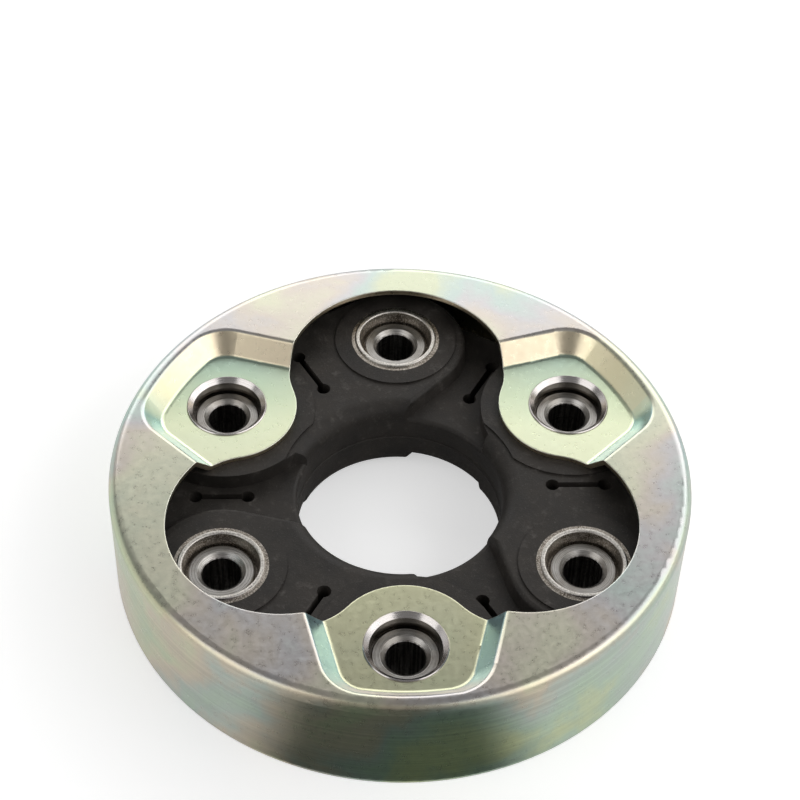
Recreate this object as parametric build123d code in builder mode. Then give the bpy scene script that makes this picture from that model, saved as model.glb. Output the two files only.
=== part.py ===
"""Flexible disc coupling for a propshaft: a rubber disc with six bushes, wound cord loops
inside it, and a pressed steel cover ring that is carried on three of the bushes.

The bushes lie every 60 degrees. Three carry the lobes of the cover ring, three are plain.
Thick and thin rubber links take turns between them.
Millimetres, +Z up, origin on the axis, at the level of the cover ring's lower edge.
"""
from build123d import *
from math import atan2, cos, degrees, radians, sin, tan
import os

os.makedirs("parts", exist_ok=True)

# Bolt pattern
bolt_circle = 110.0
lobe_angles = [30, 150, 270]
plain_angles = [90, 210, 330]
thick_angles = [0, 120, 240]
thin_angles = [60, 180, 300]

# Cover ring, deep drawn from sheet
cover_height = 32.7
wall_clearance = 1.45
sheet = 1.5
cover_corner = 3.0
lobe_drop = 5.8
joggle_width = 4.9
floor_rim_inset = 8.9
floor_half_width = 19.0
floor_lean = 14.0
floor_corner = 7.0
fold_radius = 1.5
lobe_tip_radius = 19.4
lobe_flare = 18.0
cut_out_radius = 30.8
cut_out_inset = 18.6

# Bushes: a steel sleeve pressed into two collars that meet at mid-height
bolt_bore = 10.5
bore_chamfer = 1.2
sleeve_wall = 3.6
sleeve_length = 19.2
sleeve_edge = 0.4
collar_wall = 2.2
land_height = 7.8
throat_wall = 1.55
foot_reach = 1.55
foot_thickness = 1.2
lip_height = 0.6
lip_reach = 0.4
lip_wall = 1.15
lip_round = 0.5
foot_flare = 0.55
lobe_collar_proud = 0.4
lobe_collar_chamfer = 1.25
lobe_collar_edge = 0.2

# Rubber disc
bore_inset = 27.0
rubber_reach = 20.3
thick_height = 23.2
thin_height = 14.4
thick_cover = 4.55
thin_cover = 2.75
ridge_angle = 45.0
draft = 12.0
edge_round = 1.2
mouth_round = 4.6
thin_mouth_round = 1.3
pad_step = 0.5
pad_reach = 6.3
lobe_pad_reach = 13.35
lobe_seat_gap = 0.1
flash_height = 0.7
flash_depth = 0.35

# Dog-bone slots through the links
slot_offset = 0.87
slot_length = 18.0
slot_width = 1.7
slot_end = 3.8

# Wound cord loops inside the rubber
cord_depth = 4.2
outer_cord_height = 5.2
middle_cord_height = 4.0
cord_gap = 0.4
cord_round = 1.1

# Worked out from the sizes above
bush_ring = bolt_circle / 2
chord_distance = bush_ring * cos(radians(30))
rubber_bore = bolt_circle - 2 * bore_inset
rubber_radius = bush_ring + rubber_reach
cover_radius = rubber_radius + wall_clearance + sheet
sleeve_diameter = bolt_bore + 2 * sleeve_wall
reel_diameter = sleeve_diameter + 2 * collar_wall
throat_diameter = reel_diameter - 2 * throat_wall
foot_diameter = reel_diameter + 2 * foot_reach
lip_diameter = reel_diameter + 2 * lip_reach
lip_opening = lip_diameter - 2 * lip_wall
pad_diameter = reel_diameter + 2 * pad_reach
lobe_pad_diameter = reel_diameter + 2 * lobe_pad_reach
thick_margin = reel_diameter / 2 + cord_depth + thick_cover
thin_margin = reel_diameter / 2 + cord_depth + thin_cover
lobe_top = cover_height - lobe_drop
lobe_underside = lobe_top - sheet
thick_half = thick_height / 2
thin_half = thin_height / 2
pad_half = thick_half + pad_step
middle = lobe_underside - lobe_seat_gap - pad_half


def turned(angle, height=0.0):
    """Level plane at a height above the floor, turned about the coupling's axis."""
    return Plane.XY.rotated((0, 0, angle)).offset(height)


def bush_centre(angle):
    return (bush_ring * cos(radians(angle)), bush_ring * sin(radians(angle)), middle)


def bush_axis(angle):
    return Axis(bush_centre(angle), (0, 0, 1))


def bush_plane(angle, height=0.0):
    """Level plane on a bush's axis, at a height above or below mid-height."""
    return Plane(bush_centre(angle), x_dir=turned(angle).x_dir, z_dir=(0, 0, 1)).offset(height)


def bush_section(angle, side):
    """Upright plane through a bush's axis: X away from that axis, Y to the given side."""
    return Plane(bush_centre(angle), x_dir=turned(angle).x_dir, z_dir=turned(angle).y_dir * -side)


def corner(sketch, point):
    return sketch.vertices().sort_by_distance(point)[0]


def save(piece, label):
    piece.part.label = label
    export_step(piece.part, f"parts/{label}.step")


# ---------------------------------------------------------------- cover ring


def draw_lobe_floor(margin):
    """Floor of a lobe's pocket with the lobe's axis along X: two leaning sides and a back
    that follows the rim. The half width is measured level with the bush."""
    lean = tan(radians(floor_lean))
    near, far = bush_ring / 2, 2 * bush_ring
    near_half = floor_half_width + margin + lean * (bush_ring - near)
    far_half = floor_half_width + margin + lean * (bush_ring - far)
    with BuildSketch(mode=Mode.PRIVATE) as floor:
        Circle(cover_radius - floor_rim_inset + margin)
        Polygon(
            (near, near_half), (far, far_half), (far, -far_half), (near, -near_half),
            align=None, mode=Mode.INTERSECT,
        )
        fillet(floor.vertices().sort_by(Axis.X)[-2:], floor_corner + margin)
    return floor.sketch


joggle_taper = degrees(atan2(joggle_width, lobe_drop))
sheet_spread = sheet * tan(radians(90 - joggle_taper) / 2)

with BuildPart() as cover_ring:
    # the drawn pot: wall, rounded corner and flat top, in one closed section
    with BuildSketch(Plane.XZ):
        with BuildLine():
            top = (cover_radius - cover_corner, cover_height)
            side = (cover_radius, cover_height - cover_corner)
            inner_side = (cover_radius - sheet, cover_height - cover_corner)
            inner_top = (cover_radius - cover_corner, cover_height - sheet)
            Line((0, cover_height), top)
            RadiusArc(top, side, cover_corner)
            Polyline(side, (cover_radius, 0), (cover_radius - sheet, 0), inner_side)
            RadiusArc(inner_side, inner_top, sheet - cover_corner)
            Polyline(inner_top, (0, cover_height - sheet), (0, cover_height))
        make_face()
    revolve(axis=Axis.Z)
    # each lobe is joggled down: its underside is added and then its upper side is cut
    for angle in lobe_angles:
        with BuildSketch(turned(angle, lobe_underside)):
            add(draw_lobe_floor(sheet_spread))
        extrude(amount=lobe_drop, taper=-joggle_taper)
        with BuildSketch(turned(angle, lobe_top)):
            add(draw_lobe_floor(0))
        extrude(amount=lobe_drop, taper=-joggle_taper, mode=Mode.SUBTRACT)
    flat_top = cover_ring.faces().sort_by(Axis.Z)[-1]
    fillet(flat_top.inner_wires().edges(), fold_radius)
    # level faces from the floor up: the rim, the lobes' undersides, the lobes' tops
    for level, radius in ((2, fold_radius), (1, fold_radius + sheet)):
        levels = cover_ring.faces().filter_by(Axis.Z).group_by(Axis.Z)
        fillet(levels[level].edges(), radius)
    # the opening: a round cut-out about each plain bush, lobe tips left standing between
    with BuildSketch() as opening:
        Circle(bush_ring - lobe_tip_radius / 2)
        with PolarLocations(bush_ring - cut_out_inset, len(plain_angles), plain_angles[0]):
            Circle(cut_out_radius)
        with PolarLocations(bush_ring, len(lobe_angles), lobe_angles[0]):
            Circle(lobe_tip_radius, mode=Mode.SUBTRACT)
        fillet(opening.vertices(), lobe_flare)
        with PolarLocations(bush_ring, len(lobe_angles), lobe_angles[0]):
            Circle(reel_diameter / 2)
    extrude(amount=cover_height, mode=Mode.SUBTRACT)

save(cover_ring, "cover_ring")

# ---------------------------------------------------------------- bushes


def make_sleeve(angle):
    """Turned sleeve with the bolt bore, its ends below the collars' rims."""
    with BuildPart() as sleeve:
        with BuildSketch(bush_plane(angle)):
            Circle(sleeve_diameter / 2)
            Circle(bolt_bore / 2, mode=Mode.SUBTRACT)
        extrude(amount=sleeve_length / 2, both=True)
        ends = sleeve.edges().filter_by(GeomType.CIRCLE).group_by(SortBy.RADIUS)
        chamfer(ends[0], bore_chamfer)
        chamfer(ends[-1], sleeve_edge)
    return sleeve


def make_drawn_collar(angle, side):
    """Collar of a plain end: a reel for the cords, a foot level with the rubber's pad and
    a rounded lip that stands up from the foot."""
    foot_under = pad_half - foot_thickness
    rim = pad_half + lip_height
    with BuildPart() as collar:
        with BuildSketch(bush_section(angle, side)) as section:
            Polygon(
                (sleeve_diameter / 2, 0),
                (reel_diameter / 2, 0),
                (reel_diameter / 2, foot_under),
                (foot_diameter / 2, foot_under),
                (foot_diameter / 2, pad_half),
                (lip_diameter / 2, pad_half),
                (lip_diameter / 2, rim),
                (lip_opening / 2, rim),
                (throat_diameter / 2, sleeve_length / 2),
                (throat_diameter / 2, land_height),
                (sleeve_diameter / 2, land_height),
                align=None,
            )
            fillet(corner(section, (lip_diameter / 2, pad_half)), foot_flare / 2)
            fillet(corner(section, (lip_diameter / 2, rim)), lip_height / 2)
            fillet(corner(section, (lip_opening / 2, rim)), lip_round)
        revolve(axis=bush_axis(angle))
    return collar


def make_lobe_collar(angle):
    """Collar of a lobe: the lobe lies on its foot and its chamfered rim stands proud."""
    foot_top = lobe_underside - middle
    rim = lobe_top + lobe_collar_proud - middle
    with BuildPart() as collar:
        with BuildSketch(bush_section(angle, 1)) as section:
            Polygon(
                (sleeve_diameter / 2, 0),
                (reel_diameter / 2, 0),
                (reel_diameter / 2, pad_half - foot_thickness),
                (foot_diameter / 2, pad_half - foot_thickness),
                (foot_diameter / 2, foot_top),
                (reel_diameter / 2, foot_top),
                (reel_diameter / 2, rim),
                (throat_diameter / 2, rim),
                (throat_diameter / 2, land_height),
                (sleeve_diameter / 2, land_height),
                align=None,
            )
            chamfer(corner(section, (throat_diameter / 2, rim)), lobe_collar_chamfer)
            chamfer(corner(section, (reel_diameter / 2, rim)), lobe_collar_edge)
        revolve(axis=bush_axis(angle))
    return collar


for number, angle in enumerate(lobe_angles, 1):
    save(make_sleeve(angle), f"lobe_sleeve_{number}")
    save(make_lobe_collar(angle), f"lobe_collar_{number}")
    save(make_drawn_collar(angle, -1), f"lobe_bush_lower_collar_{number}")

for number, angle in enumerate(plain_angles, 1):
    save(make_sleeve(angle), f"plain_sleeve_{number}")
    save(make_drawn_collar(angle, 1), f"plain_upper_collar_{number}")
    save(make_drawn_collar(angle, -1), f"plain_lower_collar_{number}")

# ---------------------------------------------------------------- cord loops


def make_cord_loop(angle, base, height):
    """Bundle of cord wound round the reels of two neighbouring bushes. The base is given
    from mid-height."""
    with BuildPart() as loop:
        with BuildSketch(turned(angle, middle + base)):
            with Locations((chord_distance, 0)):
                SlotCenterToCenter(bush_ring, reel_diameter + 2 * cord_depth, rotation=90)
                SlotCenterToCenter(bush_ring, reel_diameter, rotation=90, mode=Mode.SUBTRACT)
        extrude(amount=height)
        outer_wires = [face.outer_wire() for face in loop.faces().filter_by(Axis.Z)]
        fillet(ShapeList(outer_wires).edges(), cord_round)
    return loop


outer_base = middle_cord_height / 2 + cord_gap
cord_loops = {}
for number, angle in enumerate(thick_angles, 1):
    cord_loops[f"upper_cord_loop_{number}"] = make_cord_loop(angle, outer_base, outer_cord_height)
    cord_loops[f"lower_cord_loop_{number}"] = make_cord_loop(
        angle, -outer_base - outer_cord_height, outer_cord_height
    )
for number, angle in enumerate(thin_angles, 1):
    cord_loops[f"middle_cord_loop_{number}"] = make_cord_loop(
        angle, -middle_cord_height / 2, middle_cord_height
    )

for label, loop in cord_loops.items():
    save(loop, label)

# ---------------------------------------------------------------- rubber disc


def draw_link(margin):
    """Plan of a link between two bushes with its middle along X: a racetrack about both
    bushes, run in to the bore along a ridge on either side."""
    reach = 1.5 * margin
    with BuildSketch(mode=Mode.PRIVATE) as link:
        with Locations((chord_distance, 0)):
            SlotCenterToCenter(bush_ring, 2 * margin, rotation=90)
        with BuildLine():
            first = Vector(bush_ring, 0).rotate(Axis.Z, -30)
            leave = first + Vector(margin, 0).rotate(Axis.Z, -30 - 90 - ridge_angle)
            arrive = leave + Vector(reach, 0).rotate(Axis.Z, -30 + 180 - ridge_angle)
            half = Polyline(first, leave, arrive, (arrive.X, 0))
            mirror(half, about=Plane.XZ)
            Line(first, Vector(first.X, -first.Y))
        make_face()
    return link.sketch


def draw_slot():
    """Dog-bone slot along X, its round ends wider than its middle."""
    centre = chord_distance + slot_offset
    spread = slot_length - slot_end
    with BuildSketch(mode=Mode.PRIVATE) as slot:
        with Locations((centre, 0)):
            Rectangle(spread, slot_width)
            with GridLocations(spread, 0, 2, 1):
                Circle(slot_end / 2)
    return slot.sketch


def make_link(angle, half_height, margin):
    """Moulded link: it tapers both ways from mid-height and its outer edges are rounded."""
    with BuildPart() as link:
        for side in (1, -1):
            with BuildSketch(turned(angle, middle + side * half_height)):
                add(draw_link(margin))
            extrude(amount=-side * half_height, taper=-draft, dir=(0, 0, 1))
        faces = link.faces().sort_by(Axis.Z)
        fillet(ShapeList([faces[0], faces[-1]]).edges(), edge_round)
    return link


def make_bore_tool(half_height, mouth):
    """Turned tool for the bore: straight about mid-height and flared at both faces."""
    bore = rubber_bore / 2
    with BuildPart() as tool:
        with BuildSketch(Plane.XZ):
            with BuildLine():
                turn = (bore, middle + half_height - mouth)
                flare = (bore + mouth, middle + half_height)
                over = middle + half_height + mouth
                Polyline((0, middle), (bore, middle), turn)
                RadiusArc(turn, flare, mouth)
                Polyline(flare, (flare[0], over), (0, over), (0, middle))
            make_face()
        revolve(axis=Axis.Z)
        mirror(about=Plane.XY.offset(middle))
    return tool


thin_links = [make_link(angle, thin_half, thin_margin) for angle in thin_angles]
thick_links = [make_link(angle, thick_half, thick_margin) for angle in thick_angles]
thin_bore = make_bore_tool(thin_half, thin_mouth_round)
thick_bore = make_bore_tool(thick_half, mouth_round)

with BuildPart() as rubber_disc:
    for link in thin_links:
        add(link.part)
    add(thin_bore.part, mode=Mode.SUBTRACT)
    for link in thick_links:
        add(link.part)
    # pads: round about every drawn collar, wider under each lobe
    for side, angles in ((1, plain_angles), (-1, plain_angles + lobe_angles)):
        for angle in angles:
            with BuildSketch(bush_plane(angle, side * pad_half)):
                Circle(pad_diameter / 2)
            extrude(amount=-side * pad_half, dir=(0, 0, 1))
    for angle in lobe_angles:
        with BuildSketch(bush_plane(angle, pad_half)):
            Circle(lobe_pad_diameter / 2)
        extrude(amount=-pad_half, dir=(0, 0, 1))
    add(thick_bore.part, mode=Mode.SUBTRACT)
    # parting line left by the mould at mid-height of the bore
    with BuildSketch(Plane.XZ):
        bore = rubber_bore / 2
        Polygon(
            (bore + flash_depth, middle + flash_height / 2),
            (bore - flash_depth, middle),
            (bore + flash_depth, middle - flash_height / 2),
            align=None,
        )
    revolve(axis=Axis.Z)
    with BuildSketch(Plane.XY.offset(middle)):
        Circle(rubber_radius)
    extrude(amount=2 * pad_half, both=True, mode=Mode.INTERSECT)
    # slots, bush holes and the channels that the cords fill
    for angle in thick_angles + thin_angles:
        with BuildSketch(turned(angle, middle)):
            add(draw_slot())
        extrude(amount=pad_half, both=True, mode=Mode.SUBTRACT)
    for angle in lobe_angles + plain_angles:
        with BuildSketch(bush_plane(angle)):
            Circle(reel_diameter / 2)
        extrude(amount=pad_half, both=True, mode=Mode.SUBTRACT)
        for side in (1, -1):
            with BuildSketch(bush_plane(angle, side * (pad_half - foot_thickness))):
                Circle(foot_diameter / 2)
            extrude(amount=side * foot_thickness, dir=(0, 0, 1), mode=Mode.SUBTRACT)
    for loop in cord_loops.values():
        add(loop.part, mode=Mode.SUBTRACT)

save(rubber_disc, "rubber_disc")
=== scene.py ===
import math

import bpy
import numpy as np
from mathutils import Matrix, Vector


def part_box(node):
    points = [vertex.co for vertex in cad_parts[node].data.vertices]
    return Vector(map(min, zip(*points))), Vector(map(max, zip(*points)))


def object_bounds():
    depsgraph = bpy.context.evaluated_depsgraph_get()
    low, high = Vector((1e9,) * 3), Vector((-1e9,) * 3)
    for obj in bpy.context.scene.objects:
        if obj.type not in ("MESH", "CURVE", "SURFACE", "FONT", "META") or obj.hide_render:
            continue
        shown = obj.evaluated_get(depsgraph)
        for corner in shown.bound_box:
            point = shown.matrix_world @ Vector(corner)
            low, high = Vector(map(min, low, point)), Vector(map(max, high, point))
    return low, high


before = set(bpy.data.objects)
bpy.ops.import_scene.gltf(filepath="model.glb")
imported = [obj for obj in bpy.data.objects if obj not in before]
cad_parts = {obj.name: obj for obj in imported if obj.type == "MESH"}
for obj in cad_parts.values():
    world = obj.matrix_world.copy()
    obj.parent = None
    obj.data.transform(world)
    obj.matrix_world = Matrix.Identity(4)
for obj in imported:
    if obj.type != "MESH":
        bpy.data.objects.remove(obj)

cad_low, cad_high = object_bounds()

# ------------------------------------------------------------------ bolt sleeves
# Six turned steel tubes that the flange bolts go through, one at each bush. They are parted
# off bar, chamfered at both ends of the bore, left bare and pressed into the collars.

bush_turn = math.radians(60)
first_bush = math.radians(30)
sleeve_low, sleeve_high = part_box("plain_sleeve_1")
bush_ring = (sleeve_low.y + sleeve_high.y) / 2
bush_middle = (sleeve_low.z + sleeve_high.z) / 2
bore_radius = 0.00525
sleeve_steel = (0.31, 0.295, 0.275, 1)
sleeve_shine = (0.62, 0.60, 0.57, 1)
# Bore colours: the dark one is painted shade inside the bores, broken by brighter streaks.
bore_painted_shade = (0.13, 0.12, 0.11, 1)
bore_streak = (0.50, 0.48, 0.46, 1)


def add(tree, kind, **settings):
    """A node with its own settings, and with numbers for sockets given as _0, _1 and so on."""
    node = tree.nodes.new("ShaderNode" + kind)
    for key, value in settings.items():
        if key[0] == "_":
            node.inputs[int(key[1:]) if key[1:].isdigit() else key[1:]].default_value = value
        else:
            setattr(node, key, value)
    return node


def wire(tree, start, end, out=0, into=0):
    tree.links.new(start.outputs[out], end.inputs[into])
    return end


def math_of(tree, operation, first, second=None, third=None):
    """One arithmetic node. Each operand is a number or a (node, output) pair."""
    node = add(tree, "Math", operation=operation)
    for slot, operand in enumerate((first, second, third)):
        if isinstance(operand, tuple):
            tree.links.new(operand[0].outputs[operand[1]], node.inputs[slot])
        elif operand is not None:
            node.inputs[slot].default_value = operand
    return node, 0


def ramp_of(tree, source, stops, out=0):
    """Colour ramp through the given (place, colour) stops."""
    node = add(tree, "ValToRGB")
    points = node.color_ramp.elements
    while len(points) < len(stops):
        points.new(0.5)
    for point, (place, colour) in zip(points, stops):
        point.position = place
        point.color = colour if len(colour) == 4 else (*colour, 1)
    tree.links.new(source.outputs[out], node.inputs[0])
    return node


def grey(value):
    return (value, value, value, 1)


def mix_of(tree, factor, first, second, blend="MIX"):
    """Colour mix. Each operand is a colour or a (node, output) pair, and so is the factor."""
    node = add(tree, "Mix", data_type="RGBA", blend_type=blend, clamp_factor=True)
    for slot, operand in ((0, factor), (6, first), (7, second)):
        if isinstance(operand, tuple) and isinstance(operand[0], bpy.types.Node):
            tree.links.new(operand[0].outputs[operand[1]], node.inputs[slot])
        else:
            node.inputs[slot].default_value = operand
    return node, 2


def new_material(name):
    """An empty material with its Principled shader and the piece's own coordinates."""
    material = bpy.data.materials.new(name)
    material.use_nodes = True
    tree = material.node_tree
    tree.nodes.clear()
    shader = add(tree, "BsdfPrincipled")
    wire(tree, shader, add(tree, "OutputMaterial"))
    place = add(tree, "TexCoord")
    return material, tree, shader, (place, 3)


def new_group(name, inputs, outputs):
    """A shader node group with named number inputs and outputs."""
    tree = bpy.data.node_groups.new(name, "ShaderNodeTree")
    for label, kind, value in inputs:
        socket = tree.interface.new_socket(label, in_out="INPUT", socket_type="NodeSocket" + kind)
        if value is not None:
            socket.default_value = value
    for label, kind in outputs:
        tree.interface.new_socket(label, in_out="OUTPUT", socket_type="NodeSocket" + kind)
    return tree, tree.nodes.new("NodeGroupInput"), tree.nodes.new("NodeGroupOutput")


def use_group(tree, group, place, **values):
    node = tree.nodes.new("ShaderNodeGroup")
    node.node_tree = group
    tree.links.new(place[0].outputs[place[1]], node.inputs[0])
    for label, value in values.items():
        node.inputs[label.replace("_", " ")].default_value = value
    return node


def dress(nodes, material):
    for name in nodes:
        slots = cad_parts[name].data.materials
        slots.clear()
        slots.append(material)


# From the coupling's own place to the nearest bush: the turn about the axis is rounded to
# the nearest bush, the point is turned back by that much and the bush's distance taken off.
at_bush, source, sink = new_group(
    "at_nearest_bush", [("Place", "Vector", None)],
    [("Local", "Vector"), ("Radius", "Float"), ("Height", "Float"), ("Bush", "Float")],
)
split = wire(at_bush, source, add(at_bush, "SeparateXYZ"))
turn = math_of(at_bush, "ARCTAN2", (split, 1), (split, 0))
steps = math_of(at_bush, "DIVIDE", math_of(at_bush, "SUBTRACT", turn, first_bush), bush_turn)
number = math_of(at_bush, "ROUND", steps)
back = math_of(at_bush, "MULTIPLY_ADD", number, bush_turn, first_bush)
turned = wire(at_bush, source, add(at_bush, "VectorRotate", rotation_type="Z_AXIS", invert=True))
at_bush.links.new(back[0].outputs[0], turned.inputs["Angle"])
local = wire(at_bush, turned, add(at_bush, "VectorMath", operation="SUBTRACT",
                                  _1=(bush_ring, 0, bush_middle)))
flat = wire(at_bush, local, add(at_bush, "VectorMath", operation="MULTIPLY", _1=(1, 1, 0)))
length = wire(at_bush, flat, add(at_bush, "VectorMath", operation="LENGTH"))
height = wire(at_bush, local, add(at_bush, "SeparateXYZ"))
wire(at_bush, local, sink, 0, 0)
wire(at_bush, length, sink, 1, 1)
wire(at_bush, height, sink, 2, 2)
wire(at_bush, number[0], sink, 0, 3)

# Lathe marks: fine noise that varies only with the sum of radius and height, so that it
# runs round the faces, the chamfers and the walls alike, under broad cloudy stains.
lathe, source, sink = new_group(
    "lathe_marks",
    [("Place", "Vector", None), ("Pitch", "Float", 0.00025), ("Stain Size", "Float", 0.004)],
    [("Marks", "Float"), ("Stain", "Float"), ("Specks", "Float")],
)
bush = use_group(lathe, at_bush, (source, 0))
sweep = math_of(lathe, "MULTIPLY_ADD", (bush, 2), 0.73, (bush, 1))
marks = add(lathe, "TexNoise", noise_dimensions="1D", _Detail=2.0, _Roughness=0.6)
marks.inputs["Scale"].default_value = 1.0
wide = math_of(lathe, "DIVIDE", sweep, (source, 1))
offset = math_of(lathe, "MULTIPLY_ADD", (bush, 3), 13.7, wide)
lathe.links.new(offset[0].outputs[0], marks.inputs["W"])
stain = add(lathe, "TexNoise", _Detail=4.0, _Roughness=0.55)
wire(lathe, source, stain, 0, 0)
lathe.links.new(math_of(lathe, "DIVIDE", 1.0, (source, 2))[0].outputs[0], stain.inputs["Scale"])
specks = add(lathe, "TexNoise", _Scale=2600.0, _Detail=2.0)
wire(lathe, source, specks, 0, 0)
wire(lathe, marks, sink, 0, 0)
wire(lathe, stain, sink, 0, 1)
wire(lathe, specks, sink, 0, 2)

sleeve_material, tree, shader, place = new_material("turned_sleeve_steel")
bush = use_group(tree, at_bush, place)
cut = use_group(tree, lathe, place, Pitch=0.00022, Stain_Size=0.006)
tone = mix_of(tree, (ramp_of(tree, cut, [(0.35, grey(0)), (0.65, grey(1))]), 0), sleeve_steel, sleeve_shine)
stains_and_painted_reflection = mix_of(tree, (ramp_of(tree, cut, [(0.42, grey(0)), (0.7, grey(0.6))], 1), 0),
                 tone, (0.22, 0.19, 0.155, 1))
# Inside the bore the steel is painted dark, a painted shade, with brighter vertical streaks.
inside = math_of(tree, "LESS_THAN", (bush, 1), bore_radius * 1.04)
streak = add(tree, "TexNoise", _Scale=1.0, _Detail=3.0)
stretch = add(tree, "VectorMath", operation="MULTIPLY", _1=(1600, 1600, 60))
wire(tree, bush, stretch)
wire(tree, stretch, streak)
bore_shade_and_streaks = ramp_of(tree, streak, [(0.40, bore_painted_shade), (0.72, bore_streak)])
colour = mix_of(tree, inside, stains_and_painted_reflection, (bore_shade_and_streaks, 0))
wire(tree, colour[0], shader, 2, 0)
shader.inputs["Metallic"].default_value = 1.0
rough = ramp_of(tree, cut, [(0.3, grey(0.26)), (0.7, grey(0.42))])
wire(tree, rough, shader, 0, shader.inputs.find("Roughness"))
bump = add(tree, "Bump", _Strength=0.35, _Distance=0.00004)
wire(tree, cut, bump, 0, bump.inputs.find("Height"))
wire(tree, bump, shader, 0, shader.inputs.find("Normal"))
dress([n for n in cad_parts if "sleeve" in n], sleeve_material)

# ------------------------------------------------------------------ collars
# Steel collars round each sleeve. Those in the cover's lobes are machined, with a bright
# chamfer inside the rim. The plain ones are drawn and their rolled lip is worn bright.

lip_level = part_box("plain_upper_collar_1")[1].z - bush_middle
lobe_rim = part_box("lobe_collar_1")[1].z - bush_middle
chamfer_depth = 0.00125

collar_material, tree, shader, place = new_material("machined_collar_steel")
bush = use_group(tree, at_bush, place)
cut = use_group(tree, lathe, place, Pitch=0.00018, Stain_Size=0.005)
dull = mix_of(tree, (ramp_of(tree, cut, [(0.35, grey(0)), (0.7, grey(1))], 1), 0),
              (0.20, 0.185, 0.165, 1), (0.36, 0.34, 0.315, 1))
fresh = ramp_of(tree, cut, [(0.3, (0.50, 0.47, 0.45)), (0.7, (0.74, 0.70, 0.68))])
high = math_of(tree, "GREATER_THAN", (bush, 2), lobe_rim - chamfer_depth * 1.1)
colour = mix_of(tree, high, dull, (fresh, 0))
wire(tree, colour[0], shader, 2, 0)
shader.inputs["Metallic"].default_value = 1.0
rough = ramp_of(tree, cut, [(0.3, grey(0.14)), (0.7, grey(0.26))])
wire(tree, rough, shader, 0, shader.inputs.find("Roughness"))
bump = add(tree, "Bump", _Strength=0.3, _Distance=0.00003)
wire(tree, cut, bump, 0, bump.inputs.find("Height"))
wire(tree, bump, shader, 0, shader.inputs.find("Normal"))
dress([f"lobe_collar_{n}" for n in (1, 2, 3)], collar_material)

drawn_material, tree, shader, place = new_material("drawn_collar_steel")
bush = use_group(tree, at_bush, place)
cut = use_group(tree, lathe, place, Pitch=0.0004, Stain_Size=0.003)
dull = mix_of(tree, (ramp_of(tree, cut, [(0.35, grey(0)), (0.65, grey(1))], 1), 0),
              (0.16, 0.135, 0.11, 1), (0.33, 0.30, 0.26, 1))
speckled = mix_of(tree, (ramp_of(tree, cut, [(0.52, grey(0)), (0.60, grey(1))], 2), 0),
                  dull, (0.55, 0.50, 0.44, 1))
worn = ramp_of(tree, cut, [(0.35, (0.46, 0.43, 0.39)), (0.6, (0.74, 0.71, 0.66))], 2)
rise = math_of(tree, "ABSOLUTE", (bush, 2))
lip = math_of(tree, "SMOOTH_MAX", math_of(tree, "SUBTRACT", rise, lip_level - 0.0005), 0.0, 0.0001)
lip_mask = math_of(tree, "MINIMUM", math_of(tree, "MULTIPLY", lip, 2600.0), 1.0)
colour = mix_of(tree, lip_mask, speckled, (worn, 0))
wire(tree, colour[0], shader, 2, 0)
shader.inputs["Metallic"].default_value = 1.0
rough = ramp_of(tree, cut, [(0.3, grey(0.28)), (0.7, grey(0.46))], 2)
wire(tree, rough, shader, 0, shader.inputs.find("Roughness"))
bump = add(tree, "Bump", _Strength=0.4, _Distance=0.00005)
wire(tree, cut, bump, 2, bump.inputs.find("Height"))
wire(tree, bump, shader, 0, shader.inputs.find("Normal"))
dress([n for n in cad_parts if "collar" in n and not n.startswith("lobe_collar")], drawn_material)

# ------------------------------------------------------------------ cord loops
# Polyester cord, wound in flat turns round the reels of two neighbouring bushes and dipped
# in a bonding resin. The rubber is moulded round the loops, so they are out of sight.

cord_pitch = 0.0009
cord_material, tree, shader, place = new_material("dipped_cord")
turns = add(tree, "TexWave", wave_type="BANDS", bands_direction="Z", _Scale=math.tau / 20 / cord_pitch,
            _Distortion=1.2, _Detail=2.0)
tree.links.new(place[0].outputs[place[1]], turns.inputs[0])
colour = ramp_of(tree, turns, [(0.1, (0.20, 0.15, 0.08)), (0.8, (0.52, 0.44, 0.29))])
wire(tree, colour, shader)
shader.inputs["Roughness"].default_value = 0.72
bump = add(tree, "Bump", _Strength=0.6, _Distance=0.0002)
wire(tree, turns, bump, 1, bump.inputs.find("Height"))
wire(tree, bump, shader, 0, shader.inputs.find("Normal"))
dress([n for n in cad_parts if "cord" in n], cord_material)

# ------------------------------------------------------------------ rubber disc
# Black-brown natural rubber, moulded in one piece round the bushes and cords. Mould release
# and handling leave it matt, with paler scuffs on the ridges and dust in its texture.

rubber_dark = (0.016, 0.0138, 0.0118)
rubber_pale = (0.040, 0.0345, 0.0295)
rubber_scuff = (0.125, 0.115, 0.105, 1)

rubber_material, tree, shader, place = new_material("moulded_rubber")
cloud = add(tree, "TexNoise", _Scale=95.0, _Detail=6.0, _Roughness=0.62)
grain = add(tree, "TexNoise", _Scale=2400.0, _Detail=3.0, _Roughness=0.65)
rub = add(tree, "TexNoise", _Scale=340.0, _Detail=5.0, _Roughness=0.7)
for texture in (cloud, grain, rub):
    tree.links.new(place[0].outputs[place[1]], texture.inputs[0])
base = ramp_of(tree, cloud, [(0.33, rubber_dark), (0.68, rubber_pale)])
scuffs = math_of(tree, "MULTIPLY", (ramp_of(tree, rub, [(0.54, grey(0)), (0.72, grey(1))]), 0),
                 (ramp_of(tree, cloud, [(0.45, grey(0)), (0.6, grey(1))]), 0))
scuffed = mix_of(tree, math_of(tree, "MULTIPLY", scuffs, 0.55), (base, 0), rubber_scuff)
dust = math_of(tree, "MULTIPLY", (ramp_of(tree, grain, [(0.60, grey(0)), (0.74, grey(1))]), 0), 0.35)
dusty = mix_of(tree, dust, scuffed, (0.16, 0.15, 0.135, 1))
wire(tree, dusty[0], shader, 2, 0)
rough = ramp_of(tree, cloud, [(0.3, grey(0.50)), (0.7, grey(0.72))])
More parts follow.
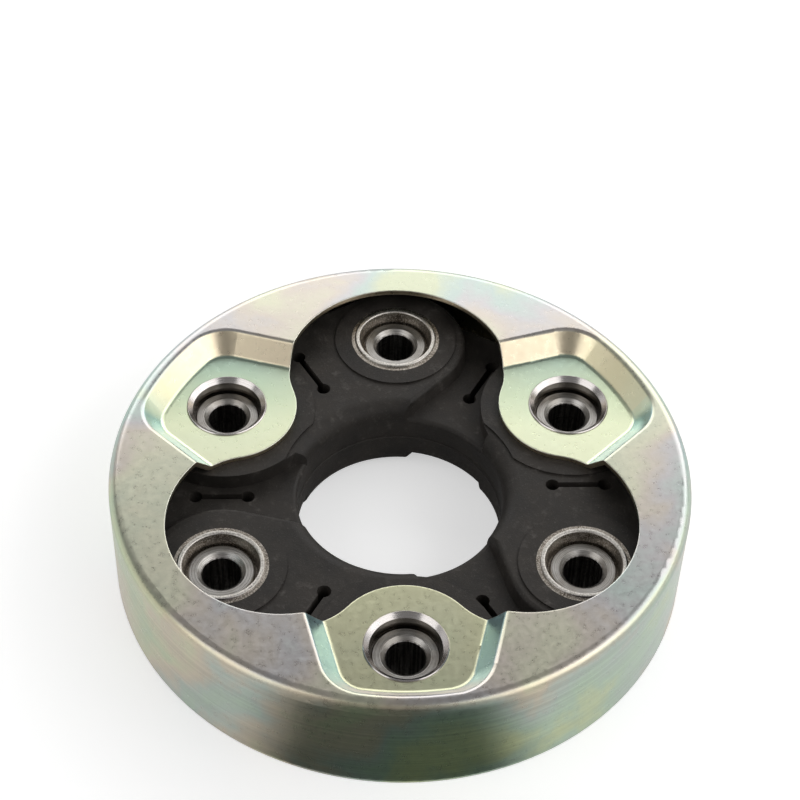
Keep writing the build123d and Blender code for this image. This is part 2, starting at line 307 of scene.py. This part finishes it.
wire(tree, rough, shader, 0, shader.inputs.find("Roughness"))
shader.inputs["Specular IOR Level"].default_value = 0.32
relief = math_of(tree, "MULTIPLY_ADD", (rub, 0), 2.2, (grain, 0))
bump = add(tree, "Bump", _Strength=0.55, _Distance=0.0001)
tree.links.new(relief[0].outputs[0], bump.inputs["Height"])
wire(tree, bump, shader, 0, shader.inputs.find("Normal"))
dress(["rubber_disc"], rubber_material)

# ------------------------------------------------------------------ cover ring
# One deep-drawn steel pressing: a wall, a flat top and three lobes joggled down on to the
# collars. It is zinc plated and passivated, which leaves cloudy yellow, green and pink tints.

cover_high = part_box("cover_ring")[1]
cover_radius = cover_high.x
cover_top = cover_high.z

wall_start, wall_end = cover_radius - 0.0022, cover_radius - 0.0002
pool_reach, pool_gain = 0.022, 9.0          # film that gathers round each collar
lobe_depth = 0.0035                         # anything this far under the top is in a lobe
lobe_outer, lobe_inner = 0.026, 0.021       # the lobe's tint fades between these radii
slope_start, slope_full = 0.93, 0.72        # upward lean at which a slope's film sets in
edge_round = 0.00045
edge_start, edge_full = 0.95, 0.80
# Bright cream of the cut edges: worn metal and a painted highlight.
worn_metal_and_painted_highlight = (0.97, 0.95, 0.84, 1)


def span_of(tree, source, start, end, top=1.0, smooth=False):
    """A value that rises from 0 to the top as the source goes from start to end, held there."""
    style = "SMOOTHSTEP" if smooth else "LINEAR"
    node = add(tree, "MapRange", clamp=True, interpolation_type=style)
    tree.links.new(source[0].outputs[source[1]], node.inputs["Value"])
    node.inputs["From Min"].default_value = start
    node.inputs["From Max"].default_value = end
    node.inputs["To Max"].default_value = top
    return node, 0


cover_material, tree, shader, place = new_material("passivated_zinc")
split = add(tree, "SeparateXYZ")
tree.links.new(place[0].outputs[place[1]], split.inputs[0])
bush = use_group(tree, at_bush, place)
broad = add(tree, "TexNoise", _Scale=11.0, _Detail=1.5, _Roughness=0.45, _Distortion=0.6)
patch = add(tree, "TexNoise", _Scale=46.0, _Detail=2.5, _Roughness=0.5, _Distortion=0.5)
fine = add(tree, "TexNoise", _Scale=520.0, _Detail=5.0, _Roughness=0.68)
crystal = add(tree, "TexNoise", _Scale=3600.0, _Detail=2.0, _Roughness=0.6)
for texture in (broad, patch, fine, crystal):
    tree.links.new(place[0].outputs[place[1]], texture.inputs[0])

# The film's thickness runs with the bath's drift over the ring and pools round each collar.
pool = math_of(tree, "MULTIPLY", math_of(tree, "SUBTRACT", pool_reach, (bush, 1)), pool_gain)
pool = math_of(tree, "MAXIMUM", pool, 0.0)
film = math_of(tree, "MULTIPLY_ADD", (patch, 0), 0.42, (broad, 0))
film = math_of(tree, "MULTIPLY_ADD", (fine, 0), 0.07, film)
film = math_of(tree, "ADD", film, pool)
tint = ramp_of(tree, film[0], [
    (0.46, (0.60, 0.66, 0.62)), (0.57, (0.66, 0.68, 0.54)), (0.66, (0.72, 0.71, 0.56)),
    (0.73, (0.68, 0.62, 0.55)), (0.79, (0.62, 0.60, 0.60)), (0.87, (0.56, 0.64, 0.60)),
    (0.97, (0.66, 0.69, 0.52)),
])
mottle = ramp_of(tree, fine, [(0.30, grey(0.90)), (0.62, grey(1.0))])
toned = mix_of(tree, 1.0, (tint, 0), (mottle, 0), "MULTIPLY")
pin = ramp_of(tree, crystal, [(0.20, grey(0.72)), (0.27, grey(1.0))])
pinned = mix_of(tree, 1.0, toned, (pin, 0), "MULTIPLY")

# The sunken lobes were pressed bright. Their colour is partly the film's own tint and partly
# painted reflection: painted pale towards the front and darker teal towards the back.
lobe_tint_and_painted_reflection = ramp_of(tree, math_of(tree, "MULTIPLY_ADD", (split, 1), 7.0, 0.58)[0], [
    (0.10, (0.60, 0.61, 0.42)), (0.40, (0.70, 0.70, 0.48)), (0.62, (0.88, 0.92, 0.66)),
    (0.72, (0.82, 0.88, 0.62)), (0.80, (0.60, 0.70, 0.50)), (0.90, (0.38, 0.50, 0.42)),
])
stains_and_painted_reflection = mix_of(tree, 0.22, (lobe_tint_and_painted_reflection, 0), toned, "OVERLAY")
low = math_of(tree, "LESS_THAN", (split, 2), cover_top - lobe_depth)
near_bush = span_of(tree, (bush, 1), lobe_outer, lobe_inner, smooth=True)
in_lobe = math_of(tree, "MULTIPLY", low, near_bush)

# Stretched slopes round the lobes carry a stronger film, whose colour turns with the way
# that they face: straw to the front, mint at the sides and blue to the back. This colour is
# partly the film's tint and partly painted reflection, lighter to the front, darker to the back.
facing = add(tree, "SeparateXYZ")
tree.links.new(place[0].outputs[1], facing.inputs[0])
steep = span_of(tree, (facing, 2), slope_start, slope_full, smooth=True)
turned_way = math_of(tree, "MULTIPLY_ADD", (facing, 1), 0.55, 0.36)
turned_way = math_of(tree, "MULTIPLY_ADD", (patch, 0), 0.28, turned_way)
slope_tint_and_painted_reflection = ramp_of(tree, turned_way[0], [
    (0.10, (0.88, 0.76, 0.56)), (0.28, (0.86, 0.80, 0.54)), (0.44, (0.64, 0.76, 0.60)),
    (0.56, (0.40, 0.60, 0.62)), (0.74, (0.42, 0.58, 0.68)), (0.90, (0.58, 0.50, 0.66)),
])

# The drawn wall was ironed in the die: it is darker, greener and finely scored round it.
out_flat = add(tree, "VectorMath", operation="MULTIPLY", _1=(1, 1, 0))
tree.links.new(place[0].outputs[place[1]], out_flat.inputs[0])
reach = wire(tree, out_flat, add(tree, "VectorMath", operation="LENGTH"))
on_wall = span_of(tree, (reach, "Value"), wall_start, wall_end)
score_place = add(tree, "VectorMath", operation="MULTIPLY", _1=(9, 9, 1500))
tree.links.new(place[0].outputs[place[1]], score_place.inputs[0])
score = wire(tree, score_place, add(tree, "TexNoise", _Scale=1.0, _Detail=4.0, _Roughness=0.7))
ironed = ramp_of(tree, score, [(0.30, grey(0.80)), (0.62, grey(1.0))])
wall_film = ramp_of(tree, film[0], [
    (0.48, (0.62, 0.80, 0.75)), (0.60, (0.72, 0.80, 0.70)), (0.70, (0.82, 0.77, 0.72)),
    (0.80, (0.70, 0.82, 0.73)), (0.92, (0.80, 0.83, 0.66)),
])
wall_tone = mix_of(tree, 1.0, mix_of(tree, 1.0, pinned, (wall_film, 0), "MULTIPLY"), (ironed, 0), "MULTIPLY")

# Blanking and handling wear the film off the sheet's cut edges, which are painted bright:
# partly worn metal and partly a painted highlight along the edges.
rounded = add(tree, "Bevel", samples=8, _Radius=edge_round)
faced = add(tree, "NewGeometry")
agree = add(tree, "VectorMath", operation="DOT_PRODUCT")
tree.links.new(rounded.outputs[0], agree.inputs[0])
tree.links.new(faced.outputs["Normal"], agree.inputs[1])
worn_edge_and_painted_highlight = span_of(tree, (agree, "Value"), edge_start, edge_full, top=0.9)

# Lobes: film tint with painted reflection, lighter at the front and darker at the back.
colour = mix_of(tree, in_lobe, pinned, stains_and_painted_reflection)
# Slopes: painted reflection colour by the way that they face, over the film's tint.
colour = mix_of(tree, steep, colour, (slope_tint_and_painted_reflection, 0))
colour = mix_of(tree, on_wall, colour, wall_tone)
# Cut edges: worn metal with a painted highlight.
colour = mix_of(tree, worn_edge_and_painted_highlight, colour, worn_metal_and_painted_highlight)
wire(tree, colour[0], shader, 2, 0)
shader.inputs["Metallic"].default_value = 1.0
rough = ramp_of(tree, fine, [(0.3, grey(0.25)), (0.7, grey(0.37))])
wire(tree, rough, shader, 0, shader.inputs.find("Roughness"))
relief = math_of(tree, "MULTIPLY_ADD", (fine, 0), 1.8, (crystal, 0))
bump = add(tree, "Bump", _Strength=0.28, _Distance=0.00003)
tree.links.new(relief[0].outputs[0], bump.inputs["Height"])
tree.links.new(rounded.outputs[0], bump.inputs["Normal"])
wire(tree, bump, shader, 0, shader.inputs.find("Normal"))
dress(["cover_ring"], cover_material)

# ------------------------------------------------------------------ floor, light and camera
# A white table that curves up into a white wall all round, one broad soft light behind, one
# at the right and one at each side of the camera, with a dark gap between those two.

table_radius, cove_radius, wall_height = 2.2, 0.5, 1.1
seen_lift, mirrored_lift = 0.50, 0.42       # how much whiter than lit, to the eye and in gloss
table_level = cad_low.z - 0.0002


def cove(flat_radius, bend, height, turns=96, bends=12):
    """A surface of revolution: a flat disc, then a quarter circle of the bend's radius, then
    a straight wall up to the height. Its inner side faces the table."""
    rise = np.linspace(0, math.pi / 2, bends)
    radius = np.concatenate([[0.0, 0.08, 0.4], flat_radius + bend * np.sin(rise), [flat_radius + bend]])
    level = np.concatenate([[0.0, 0.0, 0.0], bend - bend * np.cos(rise), [height]])
    around = np.linspace(0, math.tau, turns, endpoint=False)
    x = np.outer(radius[1:], np.cos(around)).ravel()
    y = np.outer(radius[1:], np.sin(around)).ravel()
    z = np.repeat(level[1:], turns)
    points = np.vstack([np.stack([x, y, z], 1), [[0.0, 0.0, 0.0]]]) + (0, 0, table_level)
    first = np.arange((len(radius) - 2) * turns)
    after = first + 1 - turns * (first % turns == turns - 1)
    faces = np.stack([first, after, after + turns, first + turns], 1)[:, ::-1].tolist()
    inner = np.arange(turns)
    faces += np.stack([np.full(turns, len(points) - 1), inner, (inner + 1) % turns], 1).tolist()
    return points, faces


points, faces = cove(table_radius, cove_radius, wall_height)
floor_mesh = bpy.data.meshes.new("floor")
floor_mesh.from_pydata(points.tolist(), [], faces)
floor = bpy.data.objects.new("floor", floor_mesh)
bpy.context.scene.collection.objects.link(floor)
floor_mesh.polygons.foreach_set("use_smooth", [True] * len(faces))
floor_material, tree, shader, place = new_material("white_table")
shader.inputs["Base Color"].default_value = (0.80, 0.80, 0.80, 1)
shader.inputs["Roughness"].default_value = 0.9
shader.inputs["Specular IOR Level"].default_value = 0.0
# The table is white to the eye and in reflections, but dark in the closed space under the
# cover, where only the bores let light in.
ray = add(tree, "LightPath")
out = add(tree, "VectorMath", operation="LENGTH")
tree.links.new(place[0].outputs[place[1]], out.inputs[0])
outside = math_of(tree, "GREATER_THAN", (out, "Value"), cad_high.x)
mirrored = math_of(tree, "MULTIPLY", math_of(tree, "MAXIMUM", (ray, 3), (ray, 6)), outside)
lift = math_of(tree, "MAXIMUM", math_of(tree, "MULTIPLY", (ray, 0), seen_lift),
               math_of(tree, "MULTIPLY", mirrored, mirrored_lift))
shader.inputs["Emission Color"].default_value = (1, 1, 1, 1)
tree.links.new(lift[0].outputs[0], shader.inputs["Emission Strength"])
floor_mesh.materials.append(floor_material)

# A dark grey card lies on the table before the wall and stands up behind the camera, for
# its reflections alone, which give the drawn wall its dark middle band.
card_middle, card_steps = math.radians(-93), 24
fade_start, fade_end = math.radians(17), math.radians(36)
card_line = np.array([  # radius, level and half-angle along the card, from the wall outwards
    (0.0785, 0.0002, math.radians(36)),
    (0.140, 0.0002, math.radians(37)),
    (2.00, 0.0002, math.radians(38)),
    (2.10, 0.90, math.radians(38)),
])
sweep = np.linspace(-1, 1, card_steps)
card_turn = card_middle + np.outer(card_line[:, 2], sweep)
card_radius = card_line[:, 0:1]
card_level = np.repeat(card_line[:, 1:2] + cad_low.z, card_steps, axis=1)
points = np.stack([np.cos(card_turn) * card_radius, np.sin(card_turn) * card_radius, card_level], 2)
points = points.reshape(-1, 3)
row, column = np.meshgrid(np.arange(len(card_line) - 1), np.arange(card_steps - 1), indexing="ij")
first = (row * card_steps + column).ravel()
quads = np.stack([first, first + card_steps, first + card_steps + 1, first + 1], 1)
card_mesh = bpy.data.meshes.new("dark_card")
card_mesh.from_pydata(points.tolist(), [], quads.tolist())
card = bpy.data.objects.new("dark_card", card_mesh)
bpy.context.scene.collection.objects.link(card)
card_material, tree, shader, place = new_material("dark_card")
shader.inputs["Base Color"].default_value = (0.20, 0.235, 0.215, 1)
shader.inputs["Roughness"].default_value = 1.0
shader.inputs["Specular IOR Level"].default_value = 0.0
split = add(tree, "SeparateXYZ")
tree.links.new(place[0].outputs[place[1]], split.inputs[0])
swing = math_of(tree, "SUBTRACT", math_of(tree, "ARCTAN2", (split, 1), (split, 0)), card_middle)
thin = span_of(tree, math_of(tree, "ABSOLUTE", swing), fade_start, fade_end, smooth=True)
fade = wire(tree, thin[0], add(tree, "MixShader"))
wire(tree, shader, fade, 0, 1)
wire(tree, add(tree, "BsdfTransparent"), fade, 0, 2)
wire(tree, fade, tree.nodes["Material Output"])
card_mesh.materials.append(card_material)
card.visible_camera = card.visible_diffuse = card.visible_shadow = card.visible_transmission = False

world = bpy.data.worlds.new("studio")
bpy.context.scene.world = world
world.use_nodes = True
world.node_tree.nodes["Background"].inputs["Color"].default_value = (1, 1, 1, 1)
world.node_tree.nodes["Background"].inputs["Strength"].default_value = 0.22


def soft_light(name, azimuth, height_angle, distance, width, height, glow):
    """A rectangular area light on a sphere round the coupling, facing it. Its power is its
    glow, as seen in a mirror, times pi and its area."""
    lamp = bpy.data.lights.new(name, "AREA")
    lamp.shape, lamp.size, lamp.size_y = "RECTANGLE", width, height
    lamp.energy = glow * math.pi * width * height
    holder = bpy.data.objects.new(name, lamp)
    bpy.context.scene.collection.objects.link(holder)
    turn, rise = math.radians(azimuth), math.radians(height_angle)
    centre = Vector((math.cos(turn) * math.cos(rise), math.sin(turn) * math.cos(rise), math.sin(rise)))
    facing = (-centre).to_track_quat("-Z", "Y").to_matrix().to_4x4()
    holder.matrix_world = Matrix.Translation(centre * distance) @ facing


soft_light("back_light", 82, 31, 1.6, 2.7, 0.92, 1.75)
soft_light("right_light", 8, 34, 1.5, 1.3, 1.0, 1.5)
soft_light("left_front_light", -150, 40, 1.5, 1.0, 1.0, 1.25)
soft_light("right_front_light", -38, 40, 1.5, 1.0, 1.0, 1.45)

lens = 96.2
camera_place = Vector((-0.01980, -0.37488, 0.46700))
camera_aim = Vector((0.000364, 0.024213, 0.0327))
camera_roll = math.radians(1.935)
camera_data = bpy.data.cameras.new("camera")
camera_data.lens = lens
camera_data.sensor_width = 36.0
camera = bpy.data.objects.new("camera", camera_data)
bpy.context.scene.collection.objects.link(camera)
ahead = (camera_aim - camera_place).normalized()
right = ahead.cross(Vector((0, 0, 1))).normalized()
up = right.cross(ahead)
level_right = right * math.cos(camera_roll) + up * math.sin(camera_roll)
level_up = up * math.cos(camera_roll) - right * math.sin(camera_roll)
axes = Matrix((level_right, level_up, -ahead)).transposed()
camera.matrix_world = Matrix.Translation(camera_place) @ axes.to_4x4()
bpy.context.scene.camera = camera
bpy.context.scene.view_settings.view_transform = "Standard"
